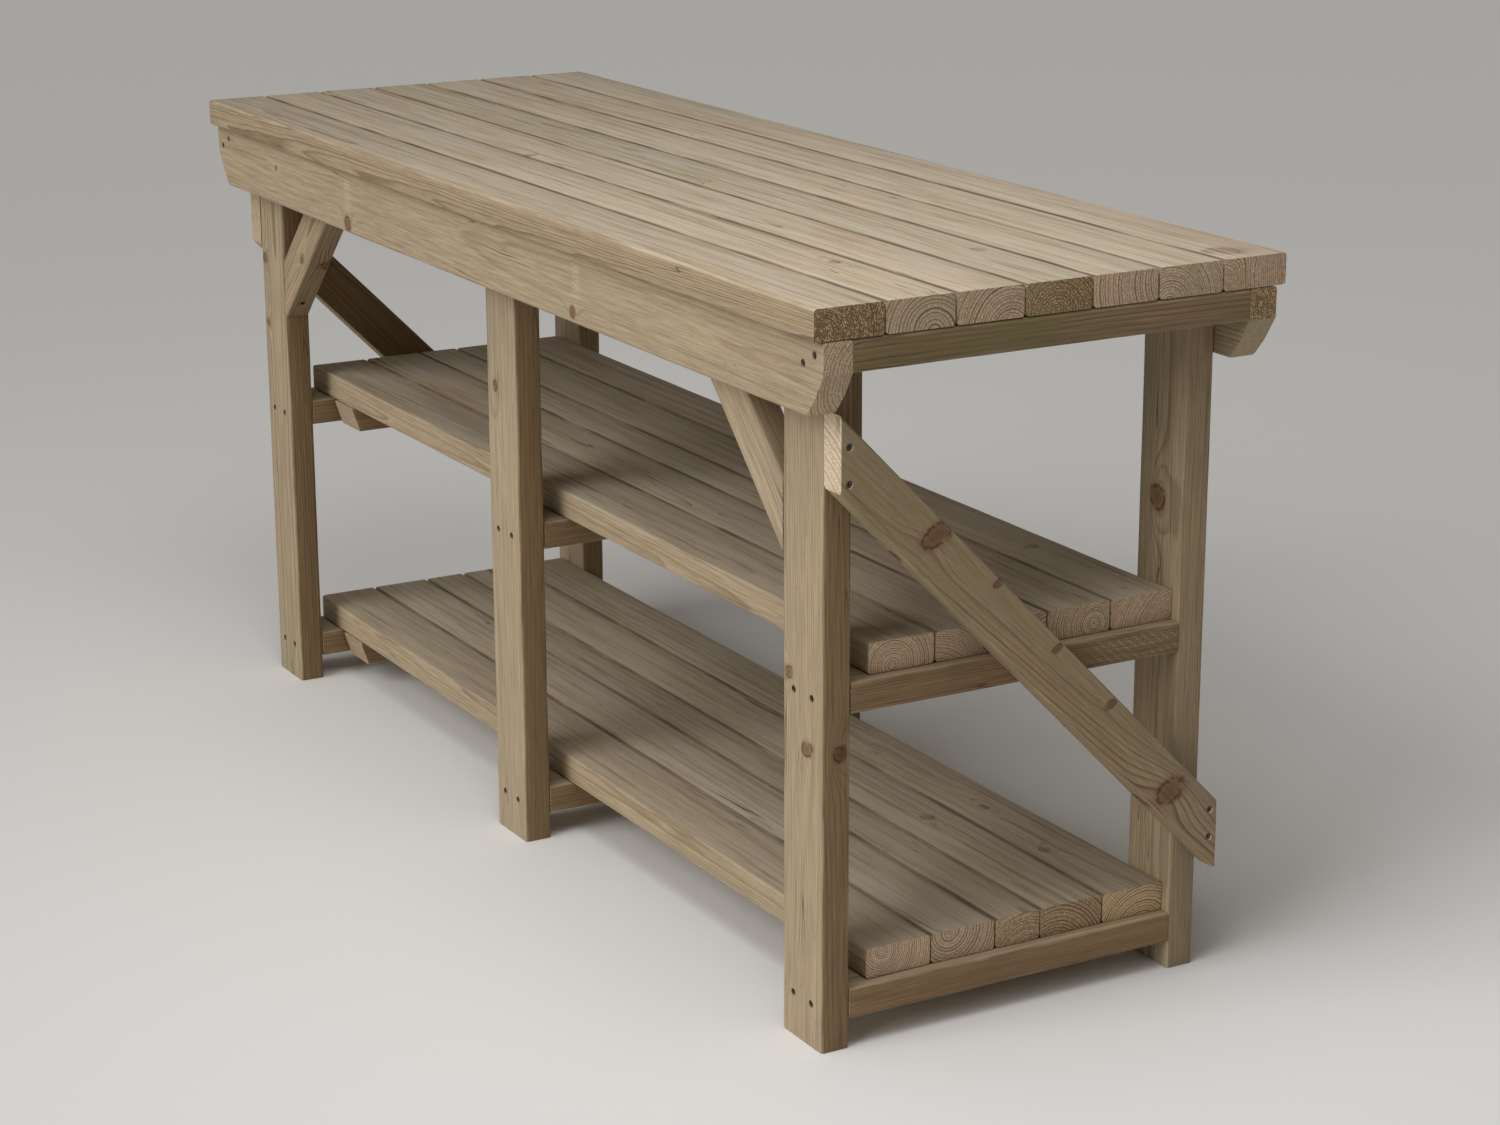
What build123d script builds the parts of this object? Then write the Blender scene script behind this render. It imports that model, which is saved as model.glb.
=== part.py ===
from build123d import *
import os
from math import copysign, hypot, sqrt

# ---------------------------------------------------------------- driving dimensions
# Potting bench of regularised softwood. X runs along the bench, Y from front to back,
# Z up. The origin is on the floor, under the middle of the work top.

# Timber sections
thickness = 38  # every timber is this thick
wide = 89  # boards, aprons, legs and shelf rails
narrow = 63  # top battens, braces and one board of each shelf
cleat_width = 70  # cleats under the shelves
eased = 4  # radius on every long edge

# Work top
top_length = 1800
top_height = 895
top_boards = 7
board_gap = 1.6
apron_inset = 12  # front of the top to the face of the apron

# Rounded lower corners of the aprons, measured in from the end and down from the top
corner_start = 37
corner_bulge_in = 13
corner_bulge_down = 60
corner_end_in = 37

# Frames of legs and rails
middle_offset = 12  # the middle frame stands a little to the right of centre
shelf_undersides = {"lower": 73, "upper": 446}

# Shelves
shelf_length = 1644
shelf_widths = [wide, wide, narrow, wide, wide]
cleat_clearance = 10  # rail to cleat
cleat_bevel = 12  # the lower edge of a cleat's end is set back by this

# Braces
brace_drop = 541  # fall of an end brace from the front legs to the back legs
knee_height = 580  # lowest corner of a knee brace, on the leg

# Countersunk wood screws
shank_radius = 2.3
hole_radius = 2.5
head_radius = 4.7
head_sink = 2.5  # the head sits this far below the face
recess_length = 5
recess_width = 1
recess_depth = 1.6
point_length = 6
tip_room = 1.5  # drilled past the point
countersink_angle = 90
short_screw = 60
medium_screw = 65
long_screw = 80

# Where the screws go: steps to either side of a timber's middle, and insets from its edges
top_screw_step = 11
top_screw_slant = 2  # the pair runs this much further across the board than along it
outer_board_inset = 12  # past the inside of the legs
apron_screw_step = 12
apron_screw_drops = (17, 30)  # below the underside of the top
leg_head_step = 22
leg_head_lifts = (-18, 8)  # from the middle of the apron
rail_screw_step = 20
brace_screw_inset = 11
brace_head_drops = (37, 79)  # down the front leg, from the bottom of the apron
brace_foot_drops = (11, 46)  # down the back leg, from the brace's upper corner there
knee_screw_inset = 24
middle_batten_inset = 10

# ---------------------------------------------------------------- worked out from them
top_underside = top_height - thickness
top_width = top_boards * wide + (top_boards - 1) * board_gap
apron_face = top_width / 2 - apron_inset
leg_face = apron_face - thickness  # outer faces of the legs, against the aprons
leg_inside = leg_face - thickness
apron_bottom = top_underside - wide
leg_outside = top_length / 2 - narrow  # the end battens fill the rest
end_frame = leg_outside - wide / 2
frames = {"left": -end_frame, "middle": middle_offset, "right": end_frame}
sides = {"front": -1, "back": 1}
batten_centres = {
    "left": -(top_length - narrow) / 2,
    "middle": middle_offset - (wide + narrow) / 2,
    "right": (top_length - narrow) / 2,
}
shelf_width = sum(shelf_widths) + (len(shelf_widths) - 1) * board_gap
shelf_front = leg_inside - shelf_width
cleat_centre = end_frame - wide / 2 - cleat_clearance - cleat_width / 2
cleats = {"left": -cleat_centre, "right": cleat_centre}
knee_reach = top_underside - knee_height
narrow_slant = narrow * sqrt(2)


def shelf_board_centres():
    """Y of the middle of each shelf board, from the front."""
    centres = []
    edge = shelf_front
    for width in shelf_widths:
        centres.append(edge + width / 2)
        edge += width + board_gap
    return centres


def top_board_centre(index):
    """Y of the middle of a top board, from the front."""
    return (index - (top_boards - 1) / 2) * (wide + board_gap)


# ---------------------------------------------------------------- places of the screws
# A screw's place is a plane: its origin is the middle of the head, its Z points out of
# the wood.


def screw_at(x, y, z, outward):
    """Place of a screw whose head is sunk below the face at this point."""
    face = Plane(origin=(x, y, z), z_dir=outward)
    return face.offset(-head_sink)


def top_screw_places(frame, board):
    """Screws up through a top batten: one into an outer board, two into an inner one."""
    x = batten_centres[frame]
    y = top_board_centre(board)
    z = top_underside - thickness
    if abs(y) > leg_inside:
        return [screw_at(x, copysign(leg_inside + outer_board_inset, y), z, (0, 0, -1))]
    steps = (-top_screw_step, top_screw_step)
    return [screw_at(x + step, y + step * top_screw_slant, z, (0, 0, -1)) for step in steps]


def apron_screw_places(side, frame):
    """Two screws through the end of an apron into the end of a top batten."""
    x = batten_centres[frame]
    y = sides[side] * apron_face
    outward = (0, sides[side], 0)
    steps = (apron_screw_step, -apron_screw_step)
    return [
        screw_at(x + step, y, top_underside - drop, outward)
        for step, drop in zip(steps, apron_screw_drops)
    ]


def leg_head_places(side, frame):
    """Two screws from inside, through the head of a leg into the apron."""
    x = frames[frame]
    y = sides[side] * leg_inside
    outward = (0, -sides[side], 0)
    z = (top_underside + apron_bottom) / 2
    steps = (-leg_head_step, leg_head_step)
    return [screw_at(x + step, y, z + lift, outward) for step, lift in zip(steps, leg_head_lifts)]


def rail_screw_places(side, frame, level):
    """Two screws through a leg into the end of a shelf rail."""
    y = sides[side] * leg_face
    z = shelf_undersides[level] - thickness / 2
    outward = (0, sides[side], 0)
    steps = (-rail_screw_step, rail_screw_step)
    return [screw_at(frames[frame] + step, y, z, outward) for step in steps]


def shelf_screw_place(x, level, y):
    """One screw up through a rail or a cleat into a shelf board."""
    return screw_at(x, y, shelf_undersides[level] - thickness, (0, 0, -1))


def brace_screw_places(end):
    """Four screws through an end brace, two into each leg."""
    x = end * (leg_outside + thickness)
    outward = (end, 0, 0)
    y = leg_face - brace_screw_inset
    foot = apron_bottom - brace_drop
    front = [screw_at(x, -y, apron_bottom - drop, outward) for drop in brace_head_drops]
    back = [screw_at(x, y, foot - drop, outward) for drop in brace_foot_drops]
    return front + back


def knee_screw_places(end):
    """Two screws square to the underside of a knee brace, into the leg and the top."""
    inset = knee_screw_inset
    outward = (-end, 0, -1)
    leg_x = end * (leg_outside - wide)
    y = -(leg_face + leg_inside) / 2
    low = screw_at(leg_x - end * inset, y, knee_height + inset, outward)
    high = screw_at(leg_x - end * (knee_reach - inset), y, top_underside - inset, outward)
    return [low, high]


def middle_batten_screw_place(side):
    """One screw through the middle batten into the side of a middle leg."""
    x = batten_centres["middle"] - narrow / 2
    y = sides[side] * (leg_face - middle_batten_inset)
    return screw_at(x, y, top_underside - thickness / 2, (-1, 0, 0))


def countersink(places, length):
    """Holes in the timber under the heads."""
    with Locations(*places):
        CounterSinkHole(hole_radius, head_radius, length + tip_room, countersink_angle)


def pilot(places, length):
    """Holes in the timber that the points reach."""
    with Locations(*places):
        Hole(hole_radius, length + tip_room)


# ---------------------------------------------------------------- making and saving
os.makedirs("parts", exist_ok=True)


def save(piece, name):
    """Label a finished piece and write its STEP file."""
    piece.label = name
    export_step(piece, f"parts/{name}.step")


# ---------------------------------------------------------------- work top
for index in range(top_boards):
    centre = top_board_centre(index)
    with BuildPart() as top_board:
        with BuildSketch(Plane.XY.offset(top_underside)):
            with Locations((0, centre)):
                Rectangle(top_length, wide)
        extrude(amount=thickness)
        fillet(top_board.edges().filter_by(Axis.X), eased)
        for frame in frames:
            pilot(top_screw_places(frame, index), short_screw)
        if index == 0:
            pilot([knee_screw_places(end)[1] for end in (-1, 1)], short_screw)
    save(top_board.part, f"top_board_{index + 1}")

# Aprons: long rails on edge, with the lower corners rounded off at both ends
for side in sides:
    half = top_length / 2
    with BuildPart() as apron:
        with BuildSketch(Plane.XZ.offset(-sides[side] * (apron_face + leg_face) / 2)):
            with BuildLine():
                Polyline(
                    (-half, top_underside - corner_start),
                    (-half, top_underside),
                    (half, top_underside),
                    (half, top_underside - corner_start),
                )
                for end in (-1, 1):
                    ThreePointArc(
                        (end * half, top_underside - corner_start),
                        (end * (half - corner_bulge_in), top_underside - corner_bulge_down),
                        (end * (half - corner_end_in), apron_bottom),
                    )
                Line((corner_end_in - half, apron_bottom), (half - corner_end_in, apron_bottom))
            make_face()
        extrude(amount=thickness / 2, both=True)
        fillet(apron.edges().filter_by(Axis.X), eased)
        for frame in ("left", "right"):
            countersink(apron_screw_places(side, frame), long_screw)
        for frame in frames:
            pilot(leg_head_places(side, frame), medium_screw)
    save(apron.part, f"{side}_apron")

# Battens that lie flat under the boards, from apron to apron
for frame, centre in batten_centres.items():
    with BuildPart() as top_batten:
        with BuildSketch(Plane.XY.offset(top_underside - thickness)):
            with Locations((centre, 0)):
                Rectangle(narrow, 2 * leg_face)
        extrude(amount=thickness)
        fillet(top_batten.edges().filter_by(Axis.Y), eased)
        for index in range(top_boards):
            countersink(top_screw_places(frame, index), short_screw)
        for side in sides:
            if frame == "middle":
                countersink([middle_batten_screw_place(side)], long_screw)
            else:
                pilot(apron_screw_places(side, frame), long_screw)
    save(top_batten.part, f"top_batten_{frame}")

# ---------------------------------------------------------------- legs and shelf rails
for frame, x in frames.items():
    for side, facing in sides.items():
        with BuildPart() as leg:
            with BuildSketch():
                with Locations((x, facing * (leg_face + leg_inside) / 2)):
                    Rectangle(wide, thickness)
            extrude(amount=top_underside)
            fillet(leg.edges().filter_by(Axis.Z), eased)
            countersink(leg_head_places(side, frame), medium_screw)
            for level in shelf_undersides:
                countersink(rail_screw_places(side, frame, level), long_screw)
            if frame == "middle":
                pilot([middle_batten_screw_place(side)], long_screw)
            else:
                end = -1 if frame == "left" else 1
                at_this_leg = slice(0, 2) if side == "front" else slice(2, 4)
                pilot(brace_screw_places(end)[at_this_leg], short_screw)
                if side == "front":
                    pilot(knee_screw_places(end)[:1], short_screw)
        save(leg.part, f"leg_{side}_{frame}")

    for level, underside in shelf_undersides.items():
        with BuildPart() as rail:
            with BuildSketch(Plane.XY.offset(underside - thickness)):
                with Locations((x, 0)):
                    Rectangle(wide, 2 * leg_inside)
            extrude(amount=thickness)
            fillet(rail.edges().filter_by(Axis.Y), eased)
            for side in sides:
                pilot(rail_screw_places(side, frame, level), long_screw)
            for y in shelf_board_centres():
                countersink([shelf_screw_place(x, level, y)], short_screw)
        save(rail.part, f"{level}_shelf_rail_{frame}")

# ---------------------------------------------------------------- shelves
for level, underside in shelf_undersides.items():
    for index, centre in enumerate(shelf_board_centres()):
        with BuildPart() as shelf_board:
            with BuildSketch(Plane.XY.offset(underside)):
                with Locations((0, centre)):
                    Rectangle(shelf_length, shelf_widths[index])
            extrude(amount=thickness)
            fillet(shelf_board.edges().filter_by(Axis.X), eased)
            for x in [*frames.values(), *cleats.values()]:
                pilot([shelf_screw_place(x, level, centre)], short_screw)
        save(shelf_board.part, f"{level}_shelf_board_{index + 1}")

    # Cleats that tie the boards together, with both ends cut back below
    for end, x in cleats.items():
        with BuildPart() as cleat:
            with BuildSketch(Plane.YZ.offset(x)):
                with BuildLine():
                    Polyline(
                        (shelf_front, underside),
                        (leg_inside, underside),
                        (leg_inside - cleat_bevel, underside - thickness),
                        (shelf_front + cleat_bevel, underside - thickness),
                        close=True,
                    )
                make_face()
            extrude(amount=cleat_width / 2, both=True)
            fillet(cleat.edges().filter_by(Axis.Y), eased)
            for y in shelf_board_centres():
                countersink([shelf_screw_place(x, level, y)], short_screw)
        save(cleat.part, f"{level}_shelf_cleat_{end}")

# ---------------------------------------------------------------- braces
# End braces fall from the head of the front leg to the foot of the back leg. Both ends
# are cut upright, in line with the outer faces of the legs.
brace_slope = brace_drop / (2 * leg_face)
brace_upright = narrow * hypot(1, brace_slope)
for name, end in (("left", -1), ("right", 1)):
    with BuildPart() as end_brace:
        with BuildSketch(Plane.YZ.offset(end * (leg_outside + thickness / 2))):
            with BuildLine():
                Polyline(
                    (-leg_face, apron_bottom),
                    (leg_face, apron_bottom - brace_drop),
                    (leg_face, apron_bottom - brace_drop - brace_upright),
                    (-leg_face, apron_bottom - brace_upright),
                    close=True,
                )
            make_face()
        extrude(amount=thickness / 2, both=True)
        long_edges = end_brace.edges().sort_by(Edge.length)[-4:]
        fillet(long_edges, eased)
        countersink(brace_screw_places(end), short_screw)
    save(end_brace.part, f"end_brace_{name}")

# Knee braces at 45 degrees, between a front leg and the underside of the top
for name, end in (("left", -1), ("right", 1)):
    leg_x = end * (leg_outside - wide)
    with BuildPart() as knee_brace:
        with BuildSketch(Plane.XZ.offset((leg_face + leg_inside) / 2)):
            with BuildLine():
                Polyline(
                    (leg_x, knee_height),
                    (leg_x, knee_height + narrow_slant),
                    (leg_x - end * (knee_reach - narrow_slant), top_underside),
                    (leg_x - end * knee_reach, top_underside),
                    close=True,
                )
            make_face()
        extrude(amount=thickness / 2, both=True)
        long_edges = knee_brace.edges().sort_by(Edge.length)[-4:]
        fillet(long_edges, eased)
        countersink(knee_screw_places(end), short_screw)
    save(knee_brace.part, f"knee_brace_{name}")


# ---------------------------------------------------------------- screws
def make_screw(length):
    """A countersunk wood screw with a cross recess, its head at the origin, pointing down."""
    neck = head_radius - shank_radius
    with BuildPart() as screw:
        with BuildSketch(Plane.XZ):
            with BuildLine():
                Polyline(
                    (0, 0),
                    (head_radius, 0),
                    (shank_radius, -neck),
                    (shank_radius, point_length - length),
                    (0, -length),
                    close=True,
                )
            make_face()
        revolve(axis=Axis.Z)
        with BuildSketch():
            Rectangle(recess_length, recess_width)
            Rectangle(recess_width, recess_length)
        extrude(amount=-recess_depth, mode=Mode.SUBTRACT)
    return screw.part


def save_screws(name, length, places):
    """Copies of one screw at these places, in one node."""
    screw = make_screw(length)
    with BuildPart() as screws:
        with Locations(*places):
            add(screw)
    save(screws.part, name)


save_screws(
    "top_board_screws",
    short_screw,
    [place for frame in frames for index in range(top_boards) for place in top_screw_places(frame, index)],
)
save_screws(
    "apron_screws",
    long_screw,
    [place for side in sides for frame in ("left", "right") for place in apron_screw_places(side, frame)],
)
save_screws(
    "leg_head_screws",
    medium_screw,
    [place for side in sides for frame in frames for place in leg_head_places(side, frame)],
)
save_screws("middle_batten_screws", long_screw, [middle_batten_screw_place(side) for side in sides])
for level in shelf_undersides:
    save_screws(
        f"{level}_rail_screws",
        long_screw,
        [place for side in sides for frame in frames for place in rail_screw_places(side, frame, level)],
    )
    save_screws(
        f"{level}_shelf_screws",
        short_screw,
        [
            shelf_screw_place(x, level, y)
            for x in [*frames.values(), *cleats.values()]
            for y in shelf_board_centres()
        ],
    )
save_screws("end_brace_screws", short_screw, [place for end in (-1, 1) for place in brace_screw_places(end)])
save_screws("knee_brace_screws", short_screw, [place for end in (-1, 1) for place in knee_screw_places(end)])
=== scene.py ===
import math
import random

import bmesh
import bpy
from bpy.props import FloatProperty, FloatVectorProperty, IntProperty, PointerProperty
from mathutils import Matrix, Vector


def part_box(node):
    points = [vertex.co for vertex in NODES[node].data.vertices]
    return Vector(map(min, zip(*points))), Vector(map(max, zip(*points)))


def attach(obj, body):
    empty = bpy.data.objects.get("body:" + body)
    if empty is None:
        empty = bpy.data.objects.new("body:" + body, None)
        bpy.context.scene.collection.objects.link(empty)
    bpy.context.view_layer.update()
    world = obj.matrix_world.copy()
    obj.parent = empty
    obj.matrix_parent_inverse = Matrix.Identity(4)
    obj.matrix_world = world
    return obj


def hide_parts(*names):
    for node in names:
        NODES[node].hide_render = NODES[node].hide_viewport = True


bl_info = {
    "name": "Potting Bench",
    "version": (1, 0, 0),
    "blender": (4, 5, 0),
    "location": "View3D > Sidebar > Bench",
    "description": "The timbers, screws and stage of a potting bench",
    "category": "Add Mesh",
}

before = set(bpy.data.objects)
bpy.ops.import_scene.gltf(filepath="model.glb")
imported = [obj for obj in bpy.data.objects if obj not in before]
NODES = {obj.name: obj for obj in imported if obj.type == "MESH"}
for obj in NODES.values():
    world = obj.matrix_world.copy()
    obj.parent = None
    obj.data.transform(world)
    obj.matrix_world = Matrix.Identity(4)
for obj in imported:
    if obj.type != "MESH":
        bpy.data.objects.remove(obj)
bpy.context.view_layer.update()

ALONG, ACROSS, UP = Vector((1, 0, 0)), Vector((0, 1, 0)), Vector((0, 0, 1))
FRAMES = ("left", "middle", "right")
SHELVES = ("lower", "upper")
SIDES = ("front", "back")
ENDS = {"left": -1, "right": 1}


# ------------------------------------------------------------ what a user may change
def measure(name, description, value, low, high):
    """A length setting, in metres."""
    return FloatProperty(
        name=name, description=description, default=value, min=low, max=high, unit="LENGTH"
    )


class BenchSizes(bpy.types.PropertyGroup):
    """Sizes of the finish on the timbers, and of the braces that stand at an angle"""

    eased: measure("Eased edge", "Radius planed on the long edges of every timber", 0.0042, 0.001, 0.01)
    sawn_edge: measure("Sawn edge", "Small bevel that wear leaves round the ends", 0.0009, 0.0002, 0.003)
    planing: measure("Planing", "How far the planed faces wander inwards", 0.0009, 0.0, 0.003)
    station: measure("Station", "Spacing of the edge loops along a timber", 0.03, 0.01, 0.2)
    ring: measure("Growth ring", "Usual width of a year's growth", 0.0036, 0.001, 0.01)
    brace_width: measure("Brace width", "Width of the timber in the braces", 0.063, 0.03, 0.1)
    cleat_bevel: measure("Cleat bevel", "How far a cleat's lower edge is cut back", 0.012, 0.0, 0.03)
    bore_sides: IntProperty(
        name="Bore sides",
        description="Sides of the round holes for the screws",
        default=16,
        min=8,
        max=48,
    )


def colour(name, description, value):
    """A colour setting, written as plain red, green and blue shares of light."""
    return FloatVectorProperty(
        name=name, description=description, default=value, subtype="COLOR", size=3, min=0.0, max=1.0
    )


class BenchColours(bpy.types.PropertyGroup):
    """Colours of the treated softwood, the screws and the stage"""

    early: colour("Early wood", "Pale wood of the spring growth", (0.47, 0.37, 0.245))
    late: colour("Late wood", "Dark line that ends each ring", (0.205, 0.13, 0.066))
    heartwood: colour("Heartwood", "Pinkish wood near the pith", (0.43, 0.27, 0.165))
    treatment: colour("Treatment", "Olive cast of the preservative", (0.27, 0.245, 0.125))
    grey: colour("Grey patches", "Dull patches where the treatment dried", (0.27, 0.235, 0.175))
    # Partly weathering, partly painted light: this pale grey film makes upward faces lighter than the
    # lamps alone would
    weathered: colour("Weathered", "Grey film on faces that meet the rain", (0.52, 0.475, 0.40))
    knot: colour("Knot", "Resinous heart of a knot", (0.165, 0.072, 0.032))
    halo: colour("Knot halo", "Resin that has crept out round a knot", (0.26, 0.125, 0.055))
    bark: colour("Knot rim", "Bark line round a knot", (0.062, 0.035, 0.017))
    mould: colour("Mould", "Specks of mould on the faces", (0.10, 0.07, 0.04))
    end_ring: colour("End ring", "Late wood where a ring is sawn across", (0.105, 0.058, 0.03))
    end_fleck: colour("End fleck", "Pale fibres torn up on a sawn end", (0.74, 0.56, 0.34))
    # Painted shade: darkens the rounded edges beside the gaps between boards, where shade falls
    soil: colour("Soil", "Painted shade along the gaps between boards", (0.12, 0.083, 0.05))
    # Pale colour of real wear, also laid along the eased edges as a painted highlight
    worn: colour("Worn edge and highlight", "Bare fibres along a rubbed edge", (0.55, 0.45, 0.32))
    streaks: colour("Streaks", "What brown streaks let through", (0.62, 0.55, 0.46))
    # Painted shade: multiplies the faces that look along the bench, darkening them as shade would
    kept: colour("Kept brown", "What faces along the bench let through", (0.58, 0.49, 0.38))
    steel: colour("Screw steel", "Dull plating of the screws", (0.13, 0.12, 0.105))
    rust: colour("Screw rust", "Brown stain in the plating", (0.10, 0.055, 0.03))
    floor: colour("Floor", "Pale studio floor", (0.87, 0.865, 0.85))


def sizes():
    return bpy.context.scene.bench_sizes


def colours():
    return bpy.context.scene.bench_colours


# ------------------------------------------------------------ how each timber was sawn
# heart: where the pith lies in the section, across the width and through the thickness.
# knots: along, across, through (a place on a face) and radius.
# lean, fade: how far the pith drifts per metre, and the ring past which the lines fade.
# Three more say what light, shade and rain do to its faces and edges: painted shade on faces that look
# along the bench, a grey film on upward faces (partly weathering, partly painted light on tops), and
# painted shade along the edges beside the gaps, near side and far side.
# rolled, tears, slant: feed marks, torn grain (along, from), and an end sawn at an angle.
# tone: the mix of the wood's colour, from TONES, with the colour of the sawn end last.
TONE_PARTS = ("brown", "pink", "olive", "lines", "flecks", "end")
TONES = {
    name: dict(zip(TONE_PARTS, parts))
    for name, *parts in (
        ("pale", 0.1, 0.15, 0.12, 0.65, 0.5, (0.522, 0.392, 0.27)),
        ("plain", 0.3, 0.1, 0.2, 0.45, 0.5, (0.522, 0.387, 0.261)),
        ("pink", 0.15, 0.7, 0.05, 0.6, 0.45, (0.54, 0.383, 0.266)),
        ("olive", 0.35, 0.0, 0.7, 1.0, 1.0, (0.25, 0.16, 0.07)),
        ("brown", 0.5, 0.2, 0.3, 1.1, 1.0, (0.342, 0.198, 0.099)),
        ("tan", 0.3, 0.1, 0.3, 0.8, 0.6, (0.522, 0.387, 0.252)),
        ("lined", 0.75, 0.0, 0.8, 1.05, 0.3, (0.82, 0.66, 0.47)),
        ("drab", 0.4, 0.0, 1.35, 1.4, 0.6, (0.36, 0.252, 0.153)),
    )
}
PLAIN = {
    "fade": 1.0,
    # painted shade on faces that look along the bench, at full strength unless a timber says otherwise
    "sheltered": 1.0,
    "rolled": 0.0,
    "slant": 0.0,
    "weather": 0.0,
    # painted shade along every eased edge, near side and far side
    "soiled": (0.2, 0.2),
    "knots": (),
    "tears": (),
}
WOOD = {
    "top_board_1": dict(heart=(-0.024, -0.012), tone="brown", rings=0.75, end=(0.24, 0.145, 0.07)),
    "top_board_2": dict(heart=(0.031, -0.026), tone="pale", knots=((0.685, 0.02, 0.019, 0.006),)),
    "top_board_3": dict(heart=(0.035, -0.03), tone="pink", knots=((-0.176, -0.035, 0.019, 0.006),)),
    "top_board_4": dict(heart=(0.01, -0.028), tone="olive", knots=((0.705, 0.02, 0.019, 0.007),)),
    "top_board_5": dict(heart=(0.09, 0.0), tone="pink"),
    "top_board_6": dict(heart=(-0.034, -0.03), tone="pale"),
    "top_board_7": dict(heart=(-0.06, -0.015), tone="pink", knots=((0.855, -0.02, 0.019, 0.014),)),
    "front_apron": dict(
        heart=(0.012, -0.055), tone="plain", sheltered=0.0, slant=0.2,
        knots=(
            (-0.4, -0.03, 0.019, 0.008),
            (-0.665, 0.01, 0.019, 0.003),
            (0.303, -0.03, 0.019, 0.006),
        ),
        tears=((-0.398, -0.012), (0.313, -0.012)),
    ),
    "back_apron": dict(heart=(0.02, 0.05), tone="olive", sheltered=0.0),
    "top_batten_right": dict(heart=(-0.02, 0.16), tone="drab", rings=1.7, sheltered=0.9),
    "leg_front_left": dict(
        heart=(0.01, 0.05), tone="olive",
        knots=((0.23, -0.031, -0.019, 0.006), (0.131, -0.0295, -0.019, 0.005)),
    ),
    "leg_front_middle": dict(heart=(-0.02, 0.06), tone="plain", knots=((0.195, -0.02, -0.019, 0.006),)),
    "leg_front_right": dict(
        heart=(-0.07, 0.05), tone="tan",
        knots=(
            (0.0165, -0.03, -0.019, 0.006),
            (-0.065, 0.0095, -0.019, 0.007),
            (-0.065, 0.0445, 0.004, 0.007),
        ),
    ),
    "leg_back_right": dict(
        heart=(0.03, 0.07), tone="tan", sheltered=0.5, knots=((0.16, -0.0065, -0.019, 0.012),),
    ),
    "end_brace_right": dict(
        heart=(-0.1, -0.05), lean=(0.06, 0.0), tone="lined", rings=1.6, fade=0.118, sheltered=0.3,
        slant=0.4,
        knots=(
            (-0.215, 0.013, 0.019, 0.01),
            (-0.107, 0.028, 0.019, 0.0035),
            (0.016, 0.023, 0.019, 0.0035),
            (0.128, 0.02, 0.019, 0.004),
            (0.28, -0.005, 0.019, 0.012),
        ),
    ),
    "end_brace_left": dict(slant=0.4, tone="olive", end=(0.558, 0.423, 0.288)),
    "upper_shelf_board_1": dict(heart=(-0.022, -0.008), tone="tan", rings=0.8, end=(0.64, 0.46, 0.32)),
    "upper_shelf_board_2": dict(heart=(-0.03, -0.06), tone="pink"),
    "upper_shelf_board_4": dict(heart=(0.03, -0.012), tone="tan", knots=((0.47, 0.03, 0.019, 0.004),)),
    "upper_shelf_board_5": dict(
        heart=(0.06, -0.03), tone="pink",
        knots=((0.585, 0.003, 0.019, 0.006), (0.788, -0.003, 0.019, 0.003)),
    ),
    "upper_shelf_rail_right": dict(
        heart=(0.0, 0.09), tone="olive", rolled=1.0, knots=((0.21, 0.02, -0.019, 0.008),),
    ),
    "upper_shelf_cleat_left": dict(tone="pale"),
    "lower_shelf_cleat_left": dict(tone="pale"),
    "lower_shelf_board_1": dict(heart=(-0.02, 0.012), tone="tan", rings=0.8, end=(0.64, 0.46, 0.33)),
    "lower_shelf_board_2": dict(heart=(-0.03, 0.02), tone="pale", weather=1.3),
    "lower_shelf_board_3": dict(heart=(0.0, -0.05), tone="brown", end=(0.45, 0.306, 0.194)),
    "lower_shelf_board_4": dict(
        heart=(-0.04, -0.05), tone="pale", rings=1.3, end=(0.378, 0.261, 0.149),
        knots=((0.493, 0.005, 0.019, 0.007),),
    ),
    "lower_shelf_board_5": dict(
        heart=(0.0, -0.035), tone="tan", end=(0.6, 0.435, 0.245),
        knots=((0.498, -0.002, 0.019, 0.006), (0.663, -0.02, 0.019, 0.006)),
    ),
    "knee_brace_left": dict(
        heart=(0.0, 0.05), tone="brown", slant=0.4, knots=((-0.063, -0.03, -0.019, 0.009),),
    ),
    "knee_brace_right": dict(heart=(-0.03, 0.07), tone="pale", slant=0.4),
}
STRAY_KNOTS = 2  # knots added at random to every long timber
LONG_ENOUGH = 0.8  # a timber this long gets them
HALF_THICK = 0.019  # half of any timber's thickness
# Board runs: name start, amount of grey film on their tops (partly weathering, partly painted light; more
# on the upper shelf to look brighter), last board's number
DECKS = (("top_board_", 1.0, "7"), ("upper_shelf_board_", 1.2, "5"), ("lower_shelf_board_", 0.9, "5"))


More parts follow.
